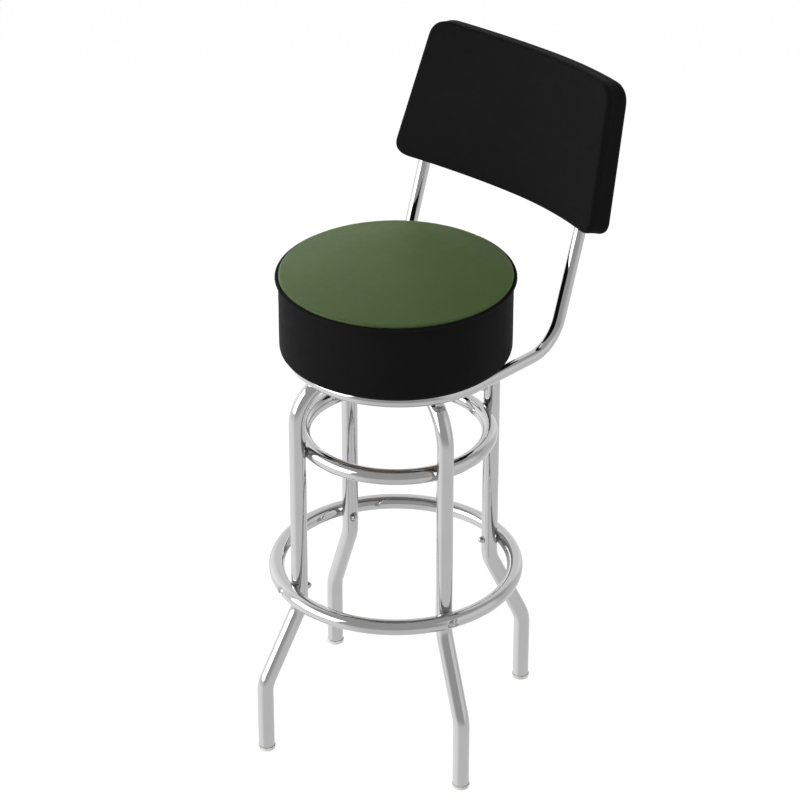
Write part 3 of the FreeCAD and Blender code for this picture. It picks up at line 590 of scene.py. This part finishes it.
def inflate(obj, free, cap):
    """Presses air into a cushion of cloth that is free to some share, and caps how far it moves."""
    scene = bpy.context.scene
    rest = [v.co.copy() for v in obj.data.vertices]
    held = obj.vertex_groups.new(name="held")
    for v in obj.data.vertices:
        held.add([v.index], 1.0 - free(v.co), "REPLACE")
    cloth = obj.modifiers.new("cloth", "CLOTH")
    settings = cloth.settings
    settings.quality = CLOTH_QUALITY
    settings.mass = CLOTH_MASS
    settings.tension_stiffness = settings.compression_stiffness = CLOTH_STRETCH
    settings.shear_stiffness = CLOTH_SHEAR
    settings.bending_stiffness = CLOTH_BENDING
    settings.use_pressure = True
    settings.uniform_pressure_force = AIR_PRESSURE
    settings.vertex_group_mass = "held"
    settings.effector_weights.gravity = 0.0
    cloth.collision_settings.use_collision = False
    cloth.point_cache.frame_start = 1
    cloth.point_cache.frame_end = AIR_FRAMES
    for number in range(1, AIR_FRAMES + 1):
        scene.frame_set(number)
    filled = obj.evaluated_get(bpy.context.evaluated_depsgraph_get())
    moved = [v.co.copy() for v in filled.data.vertices]
    obj.modifiers.remove(cloth)
    obj.vertex_groups.remove(held)
    scene.frame_set(1)
    for v, before, after in zip(obj.data.vertices, rest, moved):
        shift = after - before
        if shift.length > cap:
            shift *= cap / shift.length
        v.co = before + shift


def subdivide(obj):
    """Applies one round of subdivision."""
    modifier = obj.modifiers.new("subdivision", "SUBSURF")
    modifier.levels = modifier.render_levels = 1
    evaluated = obj.evaluated_get(bpy.context.evaluated_depsgraph_get())
    smooth = bpy.data.meshes.new_from_object(evaluated)
    obj.modifiers.remove(modifier)
    old = obj.data
    obj.data = smooth
    bpy.data.meshes.remove(old)


# Seat

def far_lift(direction):
    """How much higher the seam stands at the seat's far side, where the stuffing is fuller."""
    return SEAT_FAR_LIFT * max(0.0, direction.dot(toward(180.0))) ** 2


def ring_point(radius, z, quarter, share):
    """A point on a level circle about the swivel axis, by quarters of the way round."""
    a = math.pi / 2 * (quarter + share) - 3 * math.pi / 4
    return Vector((axis_foot.x + radius * math.cos(a), axis_foot.y + radius * math.sin(a), z))


class SeatForm:
    """Radii and heights of the dressed seat, from the CAD nodes that it replaces and encloses."""

    def __init__(self):
        side_low, side_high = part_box("seat_side_cover")
        board_low, board_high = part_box("seat_board")
        welt_low, welt_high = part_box("seat_welt")
        self.welt_z = (welt_low.z + welt_high.z) / 2
        self.side_r = (side_high.x - side_low.x) / 2
        self.flat_r = self.side_r - FOOT_ROUND
        self.foot_z = side_low.z
        self.straight_low = self.foot_z + FOOT_ROUND
        self.shoulder_r = self.side_r - CROWN_EDGE_ROUND
        self.edge_z = self.welt_z + CROWN_EDGE_RISE
        self.shoulder_z = self.edge_z + CROWN_EDGE_ROUND
        self.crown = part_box("seat_top_panel")[1].z + CROWN_EXTRA - self.shoulder_z
        self.inner_flat_r = (board_high.x - board_low.x) / 2 - FOOT_ROUND + COVER_T
        self.inner_z = self.foot_z + COVER_T - SKIN_GAP
        self.inner_round = FOOT_ROUND - COVER_T + SKIN_GAP
        self.under_r = self.inner_flat_r + self.inner_round
        self.under_z = board_high.z + SKIN_GAP

    def top_point(self, out, quarter, share):
        height = self.shoulder_z + self.crown * (1 - out * out)
        return ring_point(self.shoulder_r * out, height, quarter, share)

    def under_point(self, out, quarter, share):
        return ring_point(self.under_r * out, self.under_z, quarter, share)

    def profile(self):
        """Radius and height of each loop: down the side, in under the hem and back above it."""
        steps = []
        for a in quarter_turn(steps=3):
            steps.append((self.shoulder_r + CROWN_EDGE_ROUND * math.sin(a),
                          self.edge_z + CROWN_EDGE_ROUND * math.cos(a)))
        steps.append((self.side_r, self.welt_z))
        for i in range(1, SEAT_SIDE_ROWS + 1):
            share = i / SEAT_SIDE_ROWS
            z = self.welt_z + (self.straight_low - self.welt_z) * share
            wave = math.cos(2 * math.pi * share) ** 2
            ease = SEAT_LOW_DRAW_IN if share > 0.5 else 1
            steps.append((self.side_r - SEAT_DRAW_IN * wave * ease, z))
        for a in quarter_turn(steps=4):
            steps.append((self.side_r - FOOT_ROUND * (1 - math.cos(a)),
                          self.straight_low - FOOT_ROUND * math.sin(a)))
        inward = HEM_RADIUS - self.flat_r
        for i in range(1, SEAT_HEM_ROWS + 1):
            steps.append((self.flat_r + inward * i / SEAT_HEM_ROWS, self.foot_z))
        steps.append((HEM_RADIUS, self.inner_z))
        outward = self.inner_flat_r - HEM_RADIUS
        for i in range(1, SEAT_HEM_ROWS + 1):
            steps.append((HEM_RADIUS + outward * i / SEAT_HEM_ROWS, self.inner_z))
        for a in quarter_turn(steps=3):
            steps.append((self.inner_flat_r + self.inner_round * math.sin(a),
                          self.inner_z + self.inner_round * (1 - math.cos(a))))
        steps.append((self.under_r, self.under_z))
        return steps

    def free(self, p):
        """How freely air moves the cover at a point, from 0 to 1."""
        radius = math.hypot(p.x - axis_foot.x, p.y - axis_foot.y)
        if p.z > self.shoulder_z - SEAT_SKIN:
            return smooth_step(0.0, SEAT_TOP_HELD, self.shoulder_r - radius) * SEAT_TOP_FREE
        if radius > self.side_r - SEAT_SKIN and p.z > self.straight_low:
            below_seam = smooth_step(0.0, SEAT_SIDE_HELD, self.welt_z - p.z)
            above_foot = smooth_step(0.0, SEAT_SIDE_HELD, p.z - self.straight_low)
            return SEAT_SIDE_FREE * below_seam * above_foot
        return 0.0

    def gather(self, vertices):
        """Makes the cover uneven, and lifts its seam at the far side."""
        for v in vertices:
            x, y = v.co.x - axis_foot.x, v.co.y - axis_foot.y
            radius = math.hypot(x, y)
            angle = math.atan2(y, x)
            out = Vector((x, y, 0.0)) / max(radius, 1e-6)
            if v.co.z < self.foot_z + HEM_LEVEL and radius > HEM_RADIUS + HEM_START:
                # the hem is gathered under the board in shallow pleats
                inner = smooth_step(0.0, HEM_EASE_INNER, radius - HEM_RADIUS)
                ease = inner * smooth_step(0.0, HEM_EASE_OUTER, self.flat_r - radius)
                pleat = uneven(angle, radius, waves=(16, 9), seed=3.1)
                v.co.z += HEM_PLEAT * ease * max(0.0, pleat)
            elif radius > self.side_r - BAND_MARGIN and v.co.z < self.welt_z - BAND_MARGIN:
                # the side band stands out and is drawn in unevenly, more towards its foot
                near_foot = 1 - smooth_step(0.0, BAND_FOOT_REACH, v.co.z - self.straight_low)
                ease = BAND_RIPPLE_TOP_SHARE + (1 - BAND_RIPPLE_TOP_SHARE) * near_foot
                ripple = uneven(angle, v.co.z, waves=(9, 12), seed=7.7)
                v.co += out * (BAND_OUT - BAND_RIPPLE * ease * abs(ripple))
            elif v.co.z > self.welt_z + SEAM_MARGIN and radius > self.shoulder_r - SEAM_REACH:
                # faint puckers where the top is sewn to the welt
                ease = smooth_step(0.0, SEAM_REACH, radius - self.shoulder_r + SEAM_REACH)
                pucker = uneven(angle, 1.0, waves=(26, 1.3), seed=0.4)
                v.co.z -= SEAM_PUCKER * ease * abs(pucker)
            above_foot = smooth_step(self.straight_low, self.welt_z, v.co.z)
            share = above_foot * (radius / self.side_r) ** 2
            v.co.z += far_lift(out) * share


def seat_cushion(finishes):
    """Foam, side band and top as one closed form round the seat board, hem included."""
    form = SeatForm()
    loops = [lambda q, s, r=r, z=z: ring_point(r, z, q, s) for r, z in form.profile()]
    seat = cushion_mesh("seat_cushion", SEAT_RINGS, form.top_point, loops, form.under_point)
    inflate(seat, form.free, SEAT_AIR_CAP)
    subdivide(seat)
    form.gather(seat.data.vertices)

    seat.data.materials.clear()
    seat.data.materials.append(finishes["green_vinyl"])
    seat.data.materials.append(finishes["black_vinyl"])
    for face in seat.data.polygons:
        face.material_index = 0 if face.center.z > form.welt_z else 1
    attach(seat, "seat")
    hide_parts("seat_top_panel", "seat_side_cover", "seat_foam")


def seat_welt(finishes):
    """Piping over the seam, a little uneven, closed by a short lap at the back."""
    low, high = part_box("seat_welt")
    minor = (high.z - low.z) / 2
    major = (high.x - low.x) / 2 - minor
    z = (low.z + high.z) / 2
    points, faces = [], []
    for i in range(WELT_AROUND):
        a = 2 * math.pi * i / WELT_AROUND
        direction = Vector((math.cos(a), math.sin(a), 0.0))
        lap = math.exp(-((a - WELT_LAP_ANGLE) * major / WELT_LAP_LENGTH) ** 2)
        swell = (1 + WELT_SWELL * noise.noise(direction * WELT_SWELL_WAVES)
                 + WELT_GRAIN * noise.noise(direction * WELT_GRAIN_WAVES) - WELT_LAP_DIP * lap)
        sag = WELT_SAG * noise.noise(direction * WELT_SAG_WAVES + WELT_SAG_SEED)
        lift = sag + far_lift(direction)
        for j in range(WELT_ACROSS):
            b = 2 * math.pi * j / WELT_ACROSS
            r = minor * swell * (1 - WELT_FLAT * (0.5 + 0.5 * math.cos(b - WELT_FLAT_ANGLE)))
            reach = direction * (major + r * math.cos(b))
            points.append(axis_foot + reach + Vector((0, 0, z + lift + r * math.sin(b))))
    for i in range(WELT_AROUND):
        here, following = i * WELT_ACROSS, (i + 1) % WELT_AROUND * WELT_ACROSS
        for j in range(WELT_ACROSS):
            up = (j + 1) % WELT_ACROSS
            faces.append([here + j, following + j, following + up, here + up])
    welt = mesh_object("seat_piping", points, faces, smooth=True)
    welt.data.materials.append(finishes["black_vinyl"])
    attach(welt, "seat")
    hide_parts("seat_welt")


# Backrest

def pad_frame():
    """Row matrix of the pad's own axes: X across, Z up, Y back, origin low in front."""
    post_radius = PAD_CURVE_RADIUS + POST_DEPTH
    post_line = math.sqrt(post_radius ** 2 - FRAME_HALF_WIDTH ** 2) - PAD_CURVE_RADIUS
    bend = Vector((0.0, FRAME_CORNER_Y + PAD_ALONG_POST * math.sin(POST_LEAN),
                   FRAME_Z + PAD_ALONG_POST * math.cos(POST_LEAN)))
    up = Vector((0.0, math.sin(PAD_LEAN), math.cos(PAD_LEAN)))
    back = Vector((0.0, math.cos(PAD_LEAN), -math.sin(PAD_LEAN)))
    base = axis_foot + bend + up * POST_BEND_RUN - back * post_line
    lean = Matrix.Rotation(-PAD_LEAN, 4, "X")
    return Matrix.Translation(base) @ lean @ Matrix.Rotation(-PAD_YAW, 4, "Z")


PAD_PLACE = pad_frame()
PAD_PLACE_BACK = PAD_PLACE.inverted()
PAD_SIDE_SLOPE = (PAD_HALF_BOTTOM - PAD_HALF_TOP) / PAD_HEIGHT
PAD_SIDE_LENGTHENING = math.sqrt(1 + PAD_SIDE_SLOPE ** 2)


def right_end(across):
    """Share of the right end's wrap and droop, from the distance round the curve."""
    return max(0.0, (across - PAD_RIGHT_START) / PAD_RIGHT_RUN) ** 2


def pad_to_row(across, height, depth):
    """From the pad's curved face, its height and its depth behind the face to the row frame."""
    if across > 0:
        across *= PAD_RIGHT_STRETCH
    share = right_end(across)
    a = across / PAD_CURVE_RADIUS
    r = PAD_CURVE_RADIUS + depth - PAD_RIGHT_WRAP * share
    z = height - PAD_RIGHT_DROOP * share
    return PAD_PLACE @ Vector((r * math.sin(a), r * math.cos(a) - PAD_CURVE_RADIUS, z))


def row_to_pad(point):
    """The way back: distance round the curve, height and depth of a point of the row frame."""
    p = PAD_PLACE_BACK @ point
    across = math.atan2(p.x, p.y + PAD_CURVE_RADIUS) * PAD_CURVE_RADIUS
    share = right_end(across)
    depth = math.hypot(p.x, p.y + PAD_CURVE_RADIUS) - PAD_CURVE_RADIUS + PAD_RIGHT_WRAP * share
    if across > 0:
        across /= PAD_RIGHT_STRETCH
    return across, p.z + PAD_RIGHT_DROOP * share, depth


def pad_outline(inset):
    """The pad's outline as drawn on its curved face, narrower at the top."""
    low = PAD_HALF_BOTTOM - inset * PAD_SIDE_LENGTHENING - inset * PAD_SIDE_SLOPE
    high = low - (PAD_HEIGHT - 2 * inset) * PAD_SIDE_SLOPE
    corners = [Vector((-low, inset)), Vector((low, inset)),
               Vector((high, PAD_HEIGHT - inset)), Vector((-high, PAD_HEIGHT - inset))]
    bottom = max(PAD_BOTTOM_CORNER - inset, PAD_LEAST_CORNER)
    top = max(PAD_TOP_CORNER - inset, PAD_LEAST_CORNER)
    return Outline(corners, [bottom, bottom, top, top])


def pad_edge_distance(across, height):
    """How far a point of the pad lies inside its straight edges."""
    side = (PAD_HALF_BOTTOM - PAD_SIDE_SLOPE * height - abs(across)) / PAD_SIDE_LENGTHENING
    return min(side, height, PAD_HEIGHT - height)


def pad_loop(inset, depth):
    """Points round the pad at one inset and depth, by quarter and share of the quarter."""
    outline = pad_outline(inset)

    def place(quarter, share):
        p = outline.at(quarter, share)
        return pad_to_row(p.x, p.y, depth)

    return place


def pad_loops():
    """The loops from the face's rounded edge over the drawn-in band to the back's rounded edge."""
    loops = []
    for a in quarter_turn(steps=5):
        loops.append(pad_loop(inset=PAD_FRONT_ROUND * (1 - math.sin(a)),
                              depth=PAD_FRONT_ROUND * (1 - math.cos(a))))
    first = PAD_FRONT_ROUND + PAD_SEAM_HALF_WIDTH
    last = PAD_THICKNESS - PAD_BACK_ROUND
    for i in range(PAD_SIDE_ROWS):
        share = i / PAD_SIDE_ROWS
        loops.append(pad_loop(inset=PAD_DRAW_IN * math.sin(math.pi * share),
                              depth=first + (last - first) * share))
    for a in [0.0] + quarter_turn(steps=4):
        loops.append(pad_loop(inset=PAD_BACK_ROUND * (1 - math.cos(a)),
                              depth=last + PAD_BACK_ROUND * math.sin(a)))
    return loops


def sew_pad(vertices, middle_height):
    """Draws the seam in, puckers the band behind it and dips the face just inside its edge."""
    back_direction = (pad_to_row(0.0, 0.0, 1.0) - pad_to_row(0.0, 0.0, 0.0)).normalized()
    for v in vertices:
        across, height, depth = row_to_pad(v.co)
        edge = pad_edge_distance(across, height)
        if edge < PAD_EDGE_BAND:
            inner_height = middle_height + (height - middle_height) * PAD_INWARD_SHARE
            inner = pad_to_row(across * PAD_INWARD_SHARE, inner_height, depth)
            inward = (inner - v.co).normalized()
            behind = depth - PAD_FRONT_ROUND
            seam = math.exp(-(behind / PAD_SEAM_HALF_WIDTH) ** 2)
            beside = math.exp(-((behind - PAD_PUCKER_BEHIND) / PAD_PUCKER_HALF_WIDTH) ** 2)
            pucker = uneven(across, height, waves=(55, 55), seed=2.0)
            v.co += inward * (PAD_SEAM * seam + PAD_PUCKER * beside * (1 + pucker))
        if depth < PAD_FACE_DEPTH and edge < PAD_DIP_END:
            rise = smooth_step(PAD_DIP_START, PAD_DIP_PEAK, edge)
            ease = rise * (1 - smooth_step(PAD_DIP_PEAK, PAD_DIP_END, edge))
            wave = uneven(across, height, waves=(22, 22), seed=5.0)
            v.co += back_direction * (PAD_DIP * ease * abs(wave))


def backrest_pad(finishes):
    """One closed padded form, crowned in front, with a sewn edge and drawn-in sides."""
    middle = Vector((0.0, PAD_HEIGHT / 2))
    front = pad_outline(PAD_FRONT_ROUND)
    rear = pad_outline(PAD_BACK_ROUND)

    def face_point(out, quarter, share):
        p = middle + (front.at(quarter, share) - middle) * out
        return pad_to_row(p.x, p.y, -PAD_CROWN * (1 - out ** PAD_CROWN_POWER))

    def back_point(out, quarter, share):
        p = middle + (rear.at(quarter, share) - middle) * out
        return pad_to_row(p.x, p.y, PAD_THICKNESS)

    pad = cushion_mesh("backrest_pad", PAD_RINGS, face_point, pad_loops(), back_point)
    inflate(pad, lambda p: PAD_FREE, PAD_AIR_CAP)
    subdivide(pad)
    sew_pad(pad.data.vertices, middle.y)

    pad.data.materials.clear()
    pad.data.materials.append(finishes["black_vinyl"])
    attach(pad, "seat")
    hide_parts("backrest_cover", "backrest_foam")


def backrest_screws(finishes):
    """The screws' own meshes, slid along their axes so that each head lies on the pad's back."""
    mesh = nodes["backrest_screws"].data.copy()
    for side in (-1, 1):
        group = [v for v in mesh.vertices if v.co.x * side > 0]
        top = max(row_to_pad(v.co)[2] for v in group)
        slide = PAD_THICKNESS + SCREW_HEAD_PROUD - top
        axis = Vector((side * FRAME_HALF_WIDTH, PAD_CURVE_RADIUS, 0.0))
        heading = (PAD_PLACE.to_3x3() @ axis).normalized()
        for v in group:
            v.co += heading * slide
    mesh.materials.clear()
    mesh.materials.append(finishes[slot_of("backrest_screws")])
    screws = placed("backrest_screw_set", mesh)
    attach(screws, "seat")
    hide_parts("backrest_screws")


# Studio

def fill_panel(name, turn, elevation, distance, side, radiance):
    """A square soft light aimed at the seat, kept out of the chrome."""
    light = bpy.data.lights.new(name, "AREA")
    light.shape = "SQUARE"
    light.size = side
    light.energy = radiance * math.pi * side * side
    panel = placed(name, light)
    direction = toward(turn, elevation)
    panel.location = axis_foot + Vector((0, 0, PANEL_AIM_HEIGHT)) + direction * distance
    panel.rotation_euler = direction.to_track_quat("Z", "Y").to_euler()
    panel.visible_glossy = False
    panel.visible_camera = False


def room_box(n, direction, turn, elevation, half_width, half_height, soft, amount):
    """A square-cornered patch of light in the room, as a number by direction."""
    ahead = toward(turn, elevation)
    across = toward(turn + 90.0)
    shares = []
    for side, half in ((across, half_width), (ahead.cross(across), half_height)):
        ratio = n.math("DIVIDE", n.along(direction, side), n.along(direction, ahead))
        edge = math.tan(math.radians(half))
        fade = (edge - soft, edge + soft)
        shares.append(n.spread(n.math("ABSOLUTE", ratio), 1.0, 0.0, fade, "SMOOTHSTEP"))
    facing = n.math("GREATER_THAN", n.along(direction, ahead))
    return n.math("MULTIPLY", n.math("MULTIPLY", *shares), n.math("MULTIPLY", facing, amount))


def room_light():
    """A dim room over a white floor: a soft box at either side, glows behind and to the left."""
    world = bpy.data.worlds.new("studio")
    bpy.context.scene.world = world
    world.use_nodes = True
    n = Nodes(world.node_tree)
    output = n.add("ShaderNodeOutputWorld")
    background = n.add("ShaderNodeBackground")
    direction = n.add("ShaderNodeTexCoord").outputs["Generated"]
    height = n.along(direction, (0, 0, 1))
    light = n.spread(height, LOW_LIGHT + ROOM_LIGHT, ROOM_LIGHT, LOW_LIGHT_REACH, "SMOOTHSTEP")
    above_floor = n.spread(height, 0.0, 1.0, LOW_LIGHT_REACH, "SMOOTHSTEP")
    for turn, elevation, inner, outer, amount in ROOM_GLOWS:
        reach = (math.cos(math.radians(outer)), math.cos(math.radians(inner)))
        nearness = n.along(direction, toward(turn, elevation))
        glow = n.spread(nearness, 0.0, amount, reach, "SMOOTHSTEP")
        if elevation > 0:
            glow = n.math("MULTIPLY", glow, above_floor)
        light = n.math("ADD", light, glow)
    for box in ROOM_BOXES:
        light = n.math("ADD", light, room_box(n, direction, *box))
    n.link(light, background.inputs["Strength"])
    background.inputs["Color"].default_value = (1.0, 1.0, 1.0, 1.0)
    world.cycles_visibility.diffuse = False
    n.link(background.outputs["Background"], output.inputs["Surface"])


def floor_sheet(paper):
    """The floor, kept out of the chrome, which mirrors the room's own light from below."""
    size = FLOOR_HALF_SIZE
    corners = [(-size, -size, 0), (size, -size, 0), (size, size, 0), (-size, size, 0)]
    floor = mesh_object("floor", corners, [[0, 1, 2, 3]])
    floor.data.materials.append(paper)
    floor.visible_glossy = False


def far_wall(paper):
    """The same white paper as a wall all round, far off, which only the camera sees."""
    points, faces = [], []
    for i in range(WALL_STEPS):
        a = 2 * math.pi * i / WALL_STEPS
        x, y = WALL_RADIUS * math.cos(a), WALL_RADIUS * math.sin(a)
        points += [(x, y, z) for z in (0.0, WALL_HEIGHT)]
        j = (i + 1) % WALL_STEPS
        faces.append([2 * i, 2 * j, 2 * j + 1, 2 * i + 1])
    wall = mesh_object("far_wall", points, faces)
    wall.data.materials.append(paper)
    wall.visible_glossy = wall.visible_diffuse = wall.visible_shadow = False


def studio():
    """Floor and far wall of white paper, panels for the cloth and the room for the chrome."""
    paper = white_paper()
    floor_sheet(paper)
    far_wall(paper)
    for name, values in FILL_PANELS.items():
        fill_panel(name, *values)
    room_light()
    bpy.context.scene.view_settings.view_transform = "Standard"


def camera():
    """The camera of the photograph."""
    data = bpy.data.cameras.new("camera")
    data.sensor_width = CAMERA_SENSOR_MM
    data.lens = CAMERA_LENS_MM
    data.clip_end = CAMERA_REACH
    turn = Matrix.Rotation(CAMERA_TURN, 4, "Z")
    pitch = Matrix.Rotation(math.pi / 2 - CAMERA_PITCH, 4, "X")
    roll = Matrix.Rotation(CAMERA_ROLL, 4, "Z")
    obj = placed("camera", data)
    obj.matrix_world = Matrix.Translation(axis_foot + CAMERA_FROM_AXIS) @ turn @ pitch @ roll
    bpy.context.scene.camera = obj


camera()
finishes = dress_nodes()
seat_cushion(finishes)
seat_welt(finishes)
backrest_pad(finishes)
backrest_screws(finishes)
studio()
